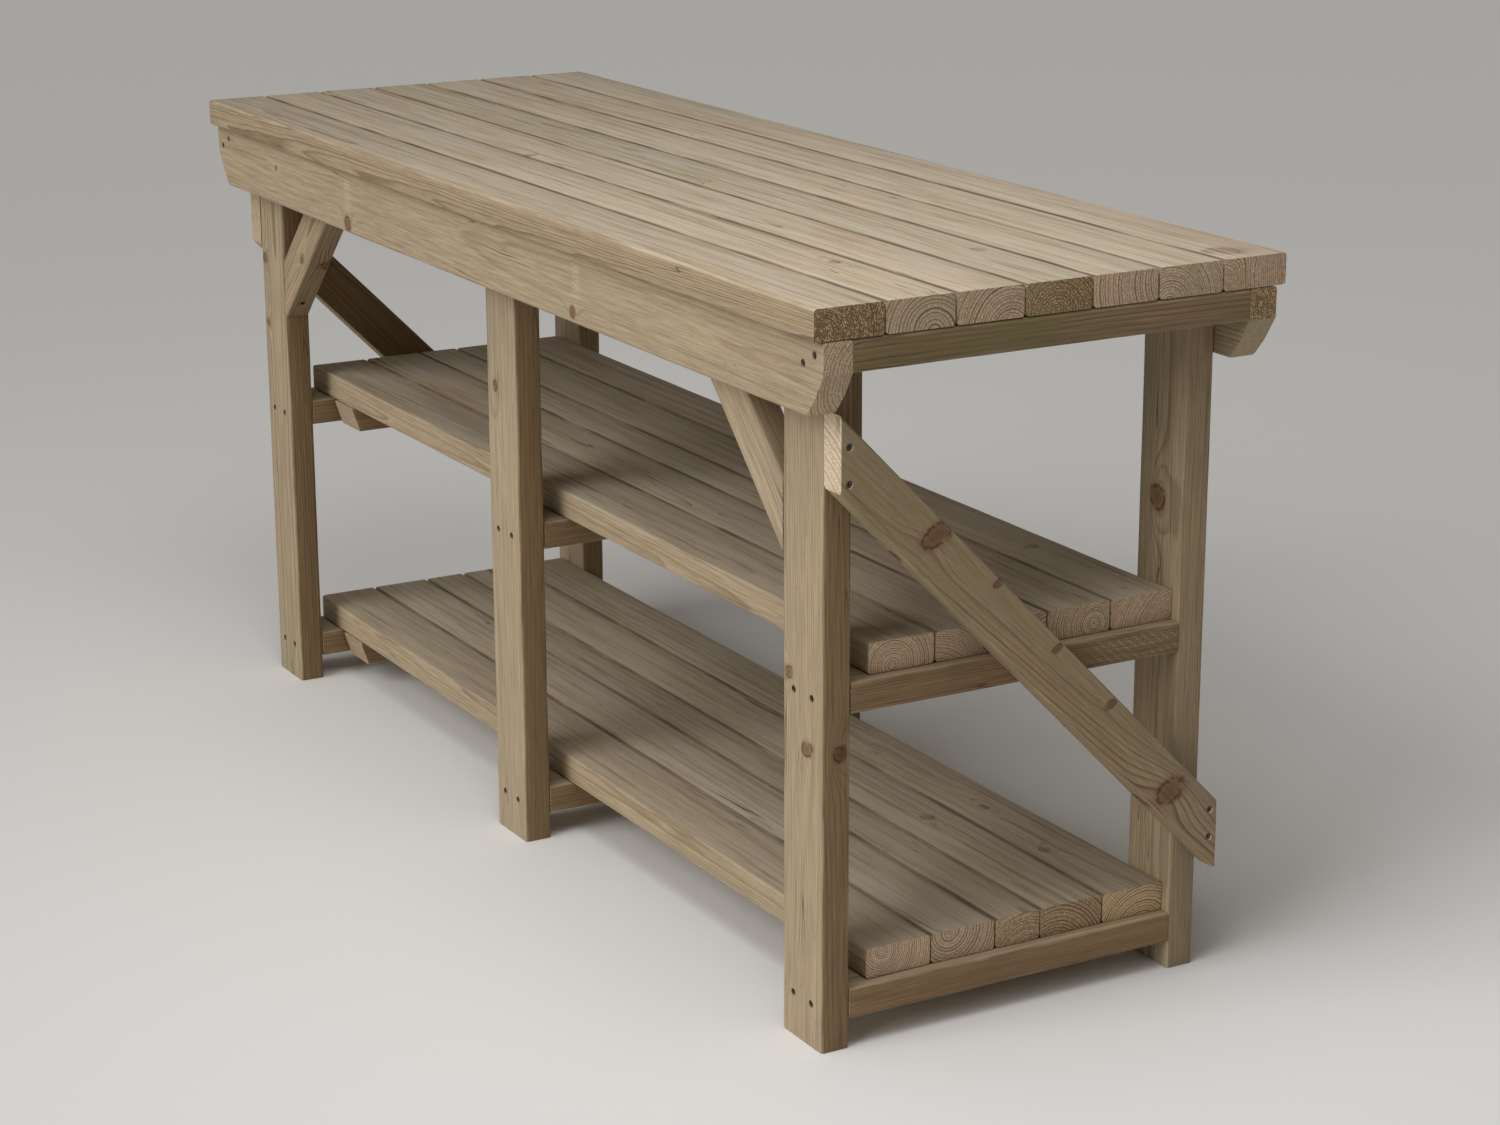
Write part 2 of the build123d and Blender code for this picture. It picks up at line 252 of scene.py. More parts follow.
def sawn_as(name, length):
    """How this timber was sawn: what the table says, with a few stray knots of its own."""
    chance = random.Random(name)
    wood = dict(PLAIN)
    wood["heart"] = (chance.uniform(-0.05, 0.05), chance.choice((-1, 1)) * chance.uniform(0.03, 0.08))
    wood["tone"] = chance.choice(("tan", "tan", "pale", "pink", "olive"))
    wood["rings"] = chance.uniform(0.8, 1.25)
    wood["lean"] = (chance.uniform(-0.02, 0.02), chance.uniform(-0.01, 0.01))
    for start, weather, last in DECKS:
        if name.startswith(start):
            wood["weather"] = weather
            number = name.removeprefix(start)
            # Painted shade along the edges that meet another board, none on the outer edges of the first
            # and last boards
            wood["soiled"] = (0.0 if number == "1" else 1.0, 0.0 if number == last else 1.0)
    wood.update(WOOD.get(name, {}))
    wood["seed"] = chance.uniform(0, 50)
    knots = list(wood["knots"])
    if length > LONG_ENOUGH and name not in WOOD:
        for _ in range(STRAY_KNOTS):
            along = chance.uniform(-0.47, 0.47) * length
            facing = chance.choice((-1, 1)) * HALF_THICK
            knots.append((along, chance.uniform(-0.03, 0.03), facing, chance.uniform(0.003, 0.007)))
    wood["knots"] = knots
    return wood


# ------------------------------------------------------------ node helpers
class Recipe:
    """Adds nodes to a tree and links them as it goes."""

    def __init__(self, tree):
        self.tree = tree
        self.count = 0

    def node(self, kind, **settings):
        made = self.tree.nodes.new(kind)
        made.location = (self.count * 40, -self.count * 12)
        self.count += 1
        for key, value in settings.items():
            setattr(made, key, value)
        return made

    def feed(self, socket, value):
        """Links a socket, or sets a plain value."""
        if isinstance(value, bpy.types.NodeSocket):
            self.tree.links.new(value, socket)
        elif value is not None:
            socket.default_value = value

    def maths(self, operation, *values, clamp=False):
        """One Math node."""
        made = self.node("ShaderNodeMath", operation=operation, use_clamp=clamp)
        for socket, value in zip(made.inputs, values):
            self.feed(socket, value)
        return made.outputs[0]

    def times(self, total, *others, clamp=False):
        """The values multiplied in turn, the last step held between 0 and 1 if asked."""
        for value in others:
            total = self.maths("MULTIPLY", total, value, clamp=clamp and value is others[-1])
        return total

    def plus(self, total, *others, clamp=False):
        """The values added in turn, the last step held between 0 and 1 if asked."""
        for value in others:
            total = self.maths("ADD", total, value, clamp=clamp and value is others[-1])
        return total

    def less(self, first, second):
        return self.maths("SUBTRACT", first, second)

    def vector(self, operation, *values, scale=None):
        """One Vector Math node: its vector, or its value for a length or dot product."""
        made = self.node("ShaderNodeVectorMath", operation=operation)
        for socket, value in zip(made.inputs, values):
            self.feed(socket, value)
        if scale is not None:
            self.feed(made.inputs["Scale"], scale)
        return made.outputs["Value" if operation in ("LENGTH", "DOT_PRODUCT") else "Vector"]

    def split(self, vector):
        made = self.node("ShaderNodeSeparateXYZ")
        self.feed(made.inputs[0], vector)
        return made.outputs[0], made.outputs[1], made.outputs[2]

    def join(self, x, y, z):
        made = self.node("ShaderNodeCombineXYZ")
        for socket, value in zip(made.inputs, (x, y, z)):
            self.feed(socket, value)
        return made.outputs[0]

    def stretch(self, vector, scale, shift=None):
        """The vector multiplied part by part, then moved on by a seed."""
        made = self.vector("MULTIPLY", vector, scale)
        return made if shift is None else self.vector("ADD", made, shift)

    def ease(self, value, start, end):
        """0 before start, 1 after end, and smooth between; start may be the larger."""
        made = self.node("ShaderNodeMapRange", interpolation_type="SMOOTHSTEP")
        low, high = (0.0, 1.0) if end > start else (1.0, 0.0)
        for name, number in (
            ("From Min", min(start, end)),
            ("From Max", max(start, end)),
            ("To Min", low),
            ("To Max", high),
        ):
            made.inputs[name].default_value = number
        self.feed(made.inputs["Value"], value)
        return made.outputs[0]

    def noise(self, vector, detail=2.0, roughness=0.5, colour=False):
        made = self.node("ShaderNodeTexNoise", noise_dimensions="3D")
        self.feed(made.inputs["Vector"], vector)
        made.inputs["Scale"].default_value = 1.0
        made.inputs["Detail"].default_value = detail
        made.inputs["Roughness"].default_value = roughness
        return made.outputs["Color" if colour else "Fac"]

    def blend(self, share, first, second, way="MIX"):
        """Two colours mixed by a share."""
        made = self.node("ShaderNodeMix", data_type="RGBA", blend_type=way)
        self.feed(made.inputs[0], share)
        self.feed(made.inputs[6], first)
        self.feed(made.inputs[7], second)
        return made.outputs[2]

    def group(self, tree, settings):
        """One group node with its sockets set, and its outputs."""
        made = self.node("ShaderNodeGroup", node_tree=tree)
        for label, value in settings.items():
            self.feed(made.inputs[label], value)
        return made.outputs

    def stray(self, noise, reach):
        """A coloured noise made a small vector that strays both ways."""
        return self.vector("SCALE", self.vector("SUBTRACT", noise, (0.5, 0.5, 0.5)), scale=reach)

    def bell(self, value, middle, width):
        """1 at the middle, and next to nothing two widths away."""
        share = self.maths("DIVIDE", self.less(value, middle), width)
        return self.maths("EXPONENT", self.times(self.maths("POWER", share, 2.0), -1.0))

    def stripes(self, count, start, end):
        """A stripe where the count passes each whole number."""
        return self.ease(self.maths("ABSOLUTE", self.less(self.maths("FRACT", count), 0.5)), start, end)

    def mottle(self, *layers):
        """A grey about 1 that follows each pattern by its depth, to multiply a colour by."""
        shade = 1.0
        for pattern, depth in layers:
            shade = self.plus(shade, self.times(self.less(pattern, 0.5), depth))
        return self.join(shade, shade, shade)


def new_group(name, inputs, outputs):
    """A node group with these sockets, and the recipe, input node and output node in it."""
    group = bpy.data.node_groups.new(name, "ShaderNodeTree")
    for label, kind in inputs:
        group.interface.new_socket(label, in_out="INPUT", socket_type=kind)
    for label, kind in outputs:
        group.interface.new_socket(label, in_out="OUTPUT", socket_type=kind)
    recipe = Recipe(group)
    return group, recipe, recipe.node("NodeGroupInput").outputs, recipe.node("NodeGroupOutput").inputs


NUMBER, VECTOR, PAINT = "NodeSocketFloat", "NodeSocketVector", "NodeSocketColor"
KNOT_MARKS = ("Push", "Core", "Rim", "Halo")
KNOT_LEAN = 0.22  # a branch climbs this much for each metre out from the pith
KNOT_NARROW, KNOT_WIDE = 0.15, 1.4  # shares of the knot's radius near the pith and far out
KNOT_STRETCH = 0.85  # below 1, a knot is drawn out along the timber
PUSH_STRETCH, PUSH_WIDTH, PUSH_HEIGHT = 0.38, 1.7, 1.15  # how far and how hard it pushes rings
RIM_WIDTH = 0.19


def knot_group():
    """A branch that grows out of the pith: a cone that pushes the rings aside."""
    name = "Knot"
    if name in bpy.data.node_groups:
        return bpy.data.node_groups[name]
    group, r, given, out = new_group(
        name,
        [("Point", VECTOR), ("Way", VECTOR), ("At", NUMBER), ("Reach", NUMBER), ("Radius", NUMBER)]
        + [(mark, NUMBER) for mark in KNOT_MARKS],
        [(mark, NUMBER) for mark in KNOT_MARKS],
    )
    x, y, z = r.split(given["Point"])
    _, way_y, way_z = r.split(given["Way"])
    out_along = r.vector("DOT_PRODUCT", given["Point"], given["Way"])
    sideways = r.less(r.times(z, way_y), r.times(y, way_z))
    from_knot = r.less(r.less(x, given["At"]), r.times(out_along, KNOT_LEAN))
    share = r.maths("DIVIDE", out_along, given["Reach"])
    share = r.maths("MINIMUM", r.maths("MAXIMUM", share, KNOT_NARROW), KNOT_WIDE)
    radius = r.times(given["Radius"], share)
    there = r.ease(out_along, 0.0, 0.004)
    # Distances in radii: a ragged one for the knot itself, a long one for the rings it pushes
    ragged = r.times(r.less(r.noise(r.stretch(given["Point"], (160, 160, 160)), 2.0), 0.5), 0.6)
    distance = r.vector("LENGTH", r.join(r.times(from_knot, KNOT_STRETCH), sideways, 0.0))
    distance = r.plus(r.maths("DIVIDE", distance, radius), ragged)
    far = r.vector("LENGTH", r.join(r.times(from_knot, PUSH_STRETCH), sideways, 0.0))
    hill = r.bell(r.maths("DIVIDE", far, radius), 0.0, PUSH_WIDTH)
    push = r.times(hill, there, r.times(radius, PUSH_HEIGHT))
    core = r.times(r.ease(distance, 1.1, 0.35), there)
    broken = r.ease(r.noise(r.stretch(given["Point"], (90, 90, 90)), 1.0), 0.30, 0.55)
    rim = r.times(r.bell(distance, 1.0, RIM_WIDTH), broken, there)
    halo = r.times(r.ease(distance, 2.0, 0.7), there)
    r.feed(out["Push"], r.plus(given["Push"], push))
    for mark, made in (("Core", core), ("Rim", rim), ("Halo", halo)):
        r.feed(out[mark], r.maths("MAXIMUM", given[mark], made))
    return group


RIPPLES = 1050.0  # radians of ripple per metre up the face
TEAR_LEAN = 0.7  # how far the ripples turn down to each side
TEAR_HALF_WIDTH, TEAR_HEIGHT = 0.013, 0.052


def tear_group():
    """Chevron ripples across a narrow band of a face, where grain dips towards a knot."""
    name = "Tear"
    if name in bpy.data.node_groups:
        return bpy.data.node_groups[name]
    group, r, given, out = new_group(
        name,
        [("Place", VECTOR), ("At", NUMBER), ("From", NUMBER), ("Tear", NUMBER)],
        [("Tear", NUMBER)],
    )
    x, y, z = r.split(given["Place"])
    aside = r.maths("ABSOLUTE", r.less(x, given["At"]))
    above = r.less(y, given["From"])
    uneven = r.times(r.noise(r.stretch(given["Place"], (120, 60, 60)), 1.0), 4.0)
    wave = r.plus(r.times(r.plus(above, r.times(aside, TEAR_LEAN)), RIPPLES), uneven)
    wave = r.maths("MULTIPLY_ADD", r.maths("SINE", wave), 0.6, 0.4)
    band = r.times(r.ease(aside, TEAR_HALF_WIDTH, 0.006), r.ease(above, -0.01, 0.012))
    band = r.times(band, r.ease(above, TEAR_HEIGHT, 0.035), r.ease(z, 0.01, 0.015))
    r.feed(out["Tear"], r.plus(given["Tear"], r.times(wave, band)))
    return group


# Patterns in the wood: scale along and across the timber, detail, roughness, share of the seed
PATTERNS = {
    "fibre": (16.0, 700.0, 3.0, 0.6, 1.0),
    "thread": (13.0, 300.0, 3.0, 0.65, 1.0),
    "streak": (4.0, 130.0, 2.0, 0.5, 1.0),
    "cloud": (3.0, 14.0, 3.0, 0.5, 1.0),
    "patch": (1.6, 7.0, 2.0, 0.5, -1.7),
    "dash": (30.0, 520.0, 2.0, 0.5, 1.0),
    "grey": (1.8, 11.0, 3.0, 0.5, 2.3),
    "speck": (140.0, 420.0, 1.0, 0.5, 1.0),
    "crack": (3.0, 22.0, 1.0, 0.5, 1.0),
    "pores": (90.0, 1100.0, 3.0, 0.75, 1.0),
    "coarse": (60.0, 500.0, 2.0, 0.6, 1.0),
    "wear": (14.0, 60.0, 3.0, 0.5, 1.0),
}
# What tints the wood: its colour, and how much of it at most
COATS = {
    "pink": ("heartwood", 0.55),
    "olive": ("treatment", 0.6),
    "dash": ("late", 0.42),
    "grey": ("grey", 0.24),
    "halo": ("halo", 0.55),
    "core": ("knot", 0.72),
    "rim": ("bark", 0.85),
    "rolled": ("worn", 0.3),
    # partly weathering, partly painted light on upward faces
    "film": ("weathered", 0.6),
    "speck": ("mould", 0.5),
    "split": ("bark", 0.7),
    "end olive": ("treatment", 0.35),
    "end core": ("knot", 0.7),
    "torn": ("end_fleck", 1.0),
    # partly real wear, partly a painted highlight along the eased edges
    "rubbed": ("worn", 0.35),
    # painted shade beside the gaps between boards
    "soil": ("soil", 1.0),
}
RELIEF = {"line": 0.00012, "fibre": 0.0003, "pores": 0.0005, "split": 0.0008, "rim": 0.0004}
RUBBED_AND_LIT_EDGE = (0.0056, 0.0024)  # from the edge: where the wear and painted highlight start, and where they are full
# from the edge: where the painted shade beside a gap starts, and where it is full
GAP_SHADE_EDGE = (0.0044, 0.0028)
TONE_NUMBERS = ("Brown", "Pink", "Olive", "Lines", "Flecks")
TIMBER_NUMBERS = ("Fade", "Weather", "Sheltered", "Rolled", "Slant")


def softwood_group():
    """Treated softwood: rings round a pith, fibres, knots, weathering with painted light on tops, worn
    edges with a painted highlight, painted shade on side faces and beside gaps, end grain.
    """
    name = "Softwood"
    if name in bpy.data.node_groups:
        return bpy.data.node_groups[name]
    group, r, given, out = new_group(
        name,
        [(label, VECTOR) for label in ("Place", "Point", "Half Size", "Grain", "Seed")]
        + [(label, NUMBER) for label in TONE_NUMBERS + TIMBER_NUMBERS + KNOT_MARKS]
        + [(label, NUMBER) for label in ("Ring", "Soiled Near", "Soiled Far", "Tear")]
        + [("End Wood", PAINT)],
        [("Colour", PAINT), ("Roughness", NUMBER), ("Height", NUMBER)],
    )
    place, point, seed = given["Place"], given["Point"], given["Seed"]

    def tone(label):
        return (*getattr(colours(), label), 1.0)

    def coat(under, what, share):
        """Lay one of the coats over a colour."""
        label, most = COATS[what]
        return r.blend(r.times(share, most), under, tone(label))

    def pattern(what):
        along, across, detail, roughness, turn = PATTERNS[what]
        shift = r.vector("SCALE", seed, scale=turn)
        return r.noise(r.stretch(place, (along, across, across), shift), detail, roughness)

    # Rings round the pith, which wanders as the tree did
    drift = r.stray(r.noise(r.stretch(point, (1.3, 5.0, 5.0), seed), 1.0, colour=True), 0.014)
    ripple = r.stray(r.noise(r.stretch(point, (7.0, 40.0, 40.0), seed), 2.0, colour=True), 0.003)
    grown = r.vector("ADD", r.vector("ADD", point, drift), ripple)
    grown = r.vector("MULTIPLY", grown, (0.0, 1.0, 1.0))
    radius = r.less(r.vector("LENGTH", grown), given["Push"])
    years = r.maths("DIVIDE", radius, given["Ring"])
    luck = r.noise(r.vector("ADD", r.join(r.times(years, 0.45), 0.0, 0.0), seed), 2.0)
    years = r.plus(years, r.times(luck, 1.5))
    season = r.maths("FRACT", years)
    ring = r.plus(r.times(r.ease(season, 0.2, 0.88), 0.35), r.times(r.ease(season, 0.6, 0.9), 0.65))
    strong = r.node("ShaderNodeTexWhiteNoise", noise_dimensions="1D")
    r.feed(strong.inputs["W"], r.maths("FLOOR", years))
    strong = r.maths("MULTIPLY_ADD", strong.outputs["Value"], 0.6, 0.4)
    ring = r.times(ring, r.ease(season, 1.0, 0.94), strong)
    faded = r.times(r.ease(r.less(radius, given["Fade"]), 0.0, 0.02), 0.85)
    line = r.times(ring, given["Lines"], r.less(1.0, faded))
    # Early wood to late wood, with the treatment's olive, the heart's pink and plain brown
    fibre, thread, streak, cloud = (pattern(what) for what in ("fibre", "thread", "streak", "cloud"))
    wood = r.blend(r.times(line, 0.9, clamp=True), tone("early"), tone("late"))
    heart = r.times(r.ease(r.plus(radius, r.times(cloud, 0.03)), 0.075, 0.03), given["Pink"])
    warm = r.times(r.ease(pattern("patch"), 0.42, 0.66), given["Pink"])
    wood = coat(wood, "pink", r.maths("MAXIMUM", heart, warm))
    wood = coat(wood, "olive", r.times(r.ease(cloud, 0.30, 0.72), given["Olive"]))
    darker = r.blend(1.0, wood, tone("streaks"), "MULTIPLY")
    wood = r.blend(r.times(given["Brown"], r.ease(streak, 0.15, 0.8)), wood, darker)
    shade = r.mottle((fibre, 0.8), (thread, 0.8), (streak, 0.55), (cloud, 0.32))
    wood = r.blend(1.0, wood, shade, "MULTIPLY")
    wood = coat(wood, "dash", r.ease(pattern("dash"), 0.62, 0.74))
    wood = coat(wood, "grey", r.ease(pattern("grey"), 0.48, 0.68))
    for what, mark in (("halo", "Halo"), ("core", "Core"), ("rim", "Rim")):
        wood = coat(wood, what, given[mark])
    # Pale ripples that the planer tore beside a knot
    torn = r.plus(r.times(given["Tear"], 0.32), 1.0)
    wood = r.blend(1.0, wood, r.join(torn, torn, torn), "MULTIPLY")
    # Which way the face looks
    normal = r.node("ShaderNodeTexCoord").outputs["Normal"]
    endwise = r.maths("ABSOLUTE", r.vector("DOT_PRODUCT", normal, given["Grain"]))
    end = r.ease(r.plus(endwise, given["Slant"]), 0.87, 0.95)
    side = r.less(1.0, end)
    _, _, upward = r.split(normal)
    sideways, _, _ = r.split(r.vector("ABSOLUTE", normal))
    # Painted shade: faces that look along the bench are multiplied darker and browner
    kept = r.times(r.ease(sideways, 0.5, 0.9), side, given["Sheltered"])
    wood = r.blend(kept, wood, r.blend(1.0, wood, tone("kept"), "MULTIPLY"))
    # Two sets of slanting lines that feed rollers pressed in, on the far part of the timber
    x, y, z = r.split(place)
    across_lines = r.maths("MULTIPLY_ADD", r.plus(y, z), 95.0, r.times(x, 80.0))
    back_lines = r.maths("MULTIPLY_ADD", r.plus(y, z), 30.0, r.times(x, -150.0))
    pressed = r.times(r.stripes(back_lines, 0.34, 0.48), 0.6)
    pressed = r.maths("MAXIMUM", r.stripes(across_lines, 0.30, 0.46), pressed)
    pressed = r.times(pressed, given["Rolled"], r.ease(x, 0.07, 0.13), r.ease(thread, 0.35, 0.6))
    wood = coat(wood, "rolled", pressed)
    # A grey film on upward faces, partly weathering where rain lies and partly painted light that makes
    # tops lighter, then mould specks and hair cracks
    film = r.times(r.ease(upward, 0.3, 0.9), r.ease(streak, 0.2, 0.75), side, given["Weather"])
    wood = coat(wood, "film", film)
    wood = coat(wood, "speck", r.ease(pattern("speck"), 0.72, 0.80))
    split = r.noise(r.stretch(grown, (0.0, 75.0, 75.0), r.stretch(place, (2.6, 3.0, 3.0))), 1.0)
    split = r.ease(r.maths("ABSOLUTE", r.less(split, 0.5)), 0.012, 0.003)
    split = r.times(split, r.ease(pattern("crack"), 0.60, 0.68), side)
    wood = coat(wood, "split", split)
    # End grain: a colour of its own, dark rings, grit and pale torn flecks
    pores, coarse = pattern("pores"), pattern("coarse")
    cut_rings = r.times(ring, r.maths("MULTIPLY_ADD", given["Slant"], -1.6, 1.25))
    cut_rings = r.times(cut_rings, r.ease(coarse, 0.15, 0.5), clamp=True)
    sawn = r.blend(cut_rings, given["End Wood"], tone("end_ring"))
    sawn = coat(sawn, "end olive", r.ease(cloud, 0.4, 0.7))
    sawn = coat(sawn, "end core", given["Core"])
    sawn = r.blend(1.0, sawn, r.mottle((pores, 1.8), (coarse, 1.5)), "MULTIPLY")
    flecks = r.times(r.ease(coarse, 0.50, 0.60), r.ease(pores, 0.42, 0.54), r.ease(ring, 0.5, 0.1))
    sawn = coat(sawn, "torn", r.times(flecks, given["Flecks"]))
    wood = r.blend(end, wood, sawn)
    # Eased edges made paler, partly real wear and partly a painted highlight, and painted shade along the
    # edges that meet another board
    _, across, through = r.split(r.vector("ABSOLUTE", place))
    _, half_across, half_through = r.split(given["Half Size"])
    inset = r.plus(r.less(half_across, across), r.less(half_through, through))
    rubbed = r.times(r.ease(inset, *RUBBED_AND_LIT_EDGE), r.ease(pattern("wear"), 0.44, 0.66), side)
    wood = coat(wood, "rubbed", rubbed)
    # Painted shade: the rounding beside a gap is darkened where shade falls
    soiled = r.times(r.ease(inset, *GAP_SHADE_EDGE), r.maths("MULTIPLY_ADD", streak, 0.6, 0.7), side)
    far = r.ease(y, -0.001, 0.001)
    edge = r.plus(r.times(far, given["Soiled Far"]), r.times(r.less(1.0, far), given["Soiled Near"]))
    wood = coat(wood, "soil", r.times(soiled, edge, clamp=True))
    r.feed(out["Colour"], wood)
    # Roughness and relief
    rough = r.maths("MULTIPLY_ADD", fibre, 0.22, 0.60)
    rough = r.less(rough, r.times(given["Core"], 0.14))
    r.feed(out["Roughness"], r.plus(rough, r.times(end, 0.10), clamp=True))
    height = r.plus(r.times(line, RELIEF["line"]), r.times(fibre, RELIEF["fibre"]))
    height = r.plus(height, r.times(pores, end, RELIEF["pores"]))
    height = r.less(height, r.times(split, RELIEF["split"]))
    r.feed(out["Height"], r.less(height, r.times(given["Rim"], RELIEF["rim"])))
    return group


def new_material(name):
    """A blank material and the recipe for its nodes."""
    material = bpy.data.materials.new(name)
    material.use_nodes = True
    material.node_tree.nodes.clear()
    return material, Recipe(material.node_tree)


def finish_material(r, shader, height, strength, distance):
    """Bump the shader by a height and put it out."""
    bump = r.node("ShaderNodeBump")
    bump.inputs["Strength"].default_value = strength
    bump.inputs["Distance"].default_value = distance
    r.feed(bump.inputs["Height"], height)
    r.feed(shader.inputs["Normal"], bump.outputs["Normal"])
    r.feed(r.node("ShaderNodeOutputMaterial").inputs["Surface"], shader.outputs[0])


def timber_material(name, spot, wood):
    """The material of one timber: its own pith, knots and tone."""
    material, r = new_material(name)
    mapping = r.node("ShaderNodeMapping", vector_type="TEXTURE")
    mapping.inputs["Location"].default_value = spot.centre
    mapping.inputs["Rotation"].default_value = spot.turn.to_euler()
    r.feed(mapping.inputs["Vector"], r.node("ShaderNodeTexCoord").outputs["Object"])
    place = mapping.outputs["Vector"]
    x, _, _ = r.split(place)
    heart_y, heart_z = wood["heart"]
    lean_y, lean_z = wood["lean"]
    pith_y = r.maths("MULTIPLY_ADD", x, lean_y, heart_y)
    pith_z = r.maths("MULTIPLY_ADD", x, lean_z, heart_z)
    point = r.vector("SUBTRACT", place, r.join(0.0, pith_y, pith_z))
    marks = {mark: 0.0 for mark in KNOT_MARKS}
    for along, across, through, radius in wood["knots"]:
        way = Vector((0.0, across - heart_y - lean_y * along, through - heart_z - lean_z * along))
        branch = {"Point": point, "Way": way.normalized(), "Reach": way.length, "Radius": radius}
        branch["At"] = along - way.length * KNOT_LEAN
        made = r.group(knot_group(), branch | marks)
        marks = {mark: made[mark] for mark in KNOT_MARKS}
    tear = 0.0
    for along, above in wood["tears"]:
        tear = r.group(tear_group(), {"Place": place, "At": along, "From": above, "Tear": tear})["Tear"]
    tone, seed = TONES[wood["tone"]], wood["seed"]
    settings = {
        "Place": place,
        "Point": point,
        "Half Size": spot.size / 2,
        "Grain": spot.turn.col[0],
        "Seed": (seed, seed * 0.37, -seed * 0.61),
        "Ring": sizes().ring * wood["rings"],
        "Tear": tear,
        "Soiled Near": wood["soiled"][0],
        "Soiled Far": wood["soiled"][1],
        "End Wood": (*wood.get("end", tone["end"]), 1.0),
    }
    settings |= {label: tone[label.lower()] for label in TONE_NUMBERS}
    settings |= {label: wood[label.lower()] for label in TIMBER_NUMBERS}
    softwood = r.group(softwood_group(), settings | marks)
    shader = r.node("ShaderNodeBsdfPrincipled")
    shader.inputs["Specular IOR Level"].default_value = 0.35
    r.feed(shader.inputs["Base Color"], softwood["Colour"])
    r.feed(shader.inputs["Roughness"], softwood["Roughness"])
    finish_material(r, shader, softwood["Height"], strength=0.9, distance=1.0)
    return material


STAIN_SCALE, SCRATCH_SCALE = 260, 1900  # of the patterns on the screws, per metre


def steel_material():
    """Dull plated steel with a little brown stain."""
    paint = colours()
    material, r = new_material("Screw steel")
    place = r.node("ShaderNodeTexCoord").outputs["Object"]
    stain = r.ease(r.noise(r.stretch(place, (STAIN_SCALE,) * 3), 3.0), 0.45, 0.75)
    scratch = r.noise(r.stretch(place, (SCRATCH_SCALE,) * 3), 2.0)
    shader = r.node("ShaderNodeBsdfPrincipled")
    shader.inputs["Metallic"].default_value = 0.85
    r.feed(shader.inputs["Base Color"], r.blend(stain, (*paint.steel, 1.0), (*paint.rust, 1.0)))
    r.feed(shader.inputs["Roughness"], r.maths("MULTIPLY_ADD", scratch, 0.3, 0.3))
    finish_material(r, shader, scratch, strength=1.0, distance=0.0001)
    return material


# ------------------------------------------------------------ modelling helpers
class Spot:
    """Where a timber lies: its middle, its three directions and its three sizes.

    turn's columns are the way the grain runs, the way across the width, and the way
    through the thickness.
    """

    def __init__(self, centre, grain, across, size):
        self.centre = Vector(centre)
        self.turn = Matrix((grain, across, grain.cross(across))).transposed()
        self.size = Vector(size)


def straight_spot(node, grain, across):
    """The spot of a timber that lies square in the frame, from its CAD node's box."""
    low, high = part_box(node)
    spot = Spot((low + high) / 2, grain, across, (1, 1, 1))
    spot.size = Vector(abs((high - low).dot(way)) for way in spot.turn.col)
    return spot


def only(*objects):
    """Select these and nothing else, the first one active."""
    bpy.ops.object.select_all(action="DESELECT")
    for piece in objects:
        piece.select_set(True)
    bpy.context.view_layer.objects.active = objects[0]


def pick(kind, test):
    """In edit mode, select the edges or faces that pass a test."""
    bpy.ops.mesh.select_mode(type=kind)
    bpy.ops.mesh.select_all(action="DESELECT")
    mesh = bmesh.from_edit_mesh(bpy.context.object.data)
    for part in mesh.edges if kind == "EDGE" else mesh.faces:
        if test(part):
            part.select_set(True)
    mesh.select_flush_mode()
    bmesh.update_edit_mesh(bpy.context.object.data)


def runs_along(edge, way):
    run = edge.verts[1].co - edge.verts[0].co
    return abs(run.normalized().dot(way)) > 0.999


def saw_block(name, spot):
    """A planed length of timber: a block with eased long edges and loops along it."""
    bpy.ops.object.select_all(action="DESELECT")
    turn = spot.turn.to_euler()
    bpy.ops.mesh.primitive_cube_add(size=1, location=spot.centre, rotation=turn, scale=spot.size)
    timber = bpy.context.object
    timber.name = name
    timber.data.name = name
    bpy.ops.object.transform_apply(location=True, rotation=True, scale=True)
    grain = spot.turn.col[0]
    bpy.ops.object.mode_set(mode="EDIT")
    pick("EDGE", lambda edge: runs_along(edge, grain))
    bpy.ops.mesh.bevel(offset=sizes().eased, segments=4, profile=0.5)
    pick("EDGE", lambda edge: runs_along(edge, grain))
    bpy.ops.mesh.subdivide(number_cuts=max(2, round(spot.size.x / sizes().station)))
    bpy.ops.object.mode_set(mode="OBJECT")
    return timber


def saw_through(timber, through, facing):
    """Cut off what lies beyond a plane, and close the cut."""
    only(timber)
    bpy.ops.object.mode_set(mode="EDIT")
    bpy.ops.mesh.select_all(action="SELECT")
    bpy.ops.mesh.bisect(plane_co=through, plane_no=facing, use_fill=True, clear_outer=True)
    bpy.ops.object.mode_set(mode="OBJECT")


SHARP = math.radians(25)  # an edge is bevelled past this angle
SMOOTH = math.radians(26)  # and shaded smooth below this one


def soften_ends(timber, grain):
    """Bevel the edges round the sawn ends."""
    only(timber)
    bpy.ops.object.mode_set(mode="EDIT")

    def sharp(edge):
        if len(edge.link_faces) != 2 or runs_along(edge, grain):
            return False
        return edge.calc_face_angle() > SHARP

    pick("EDGE", sharp)
    bpy.ops.mesh.bevel(offset=sizes().sawn_edge, segments=2, profile=0.6)
    bpy.ops.object.mode_set(mode="OBJECT")


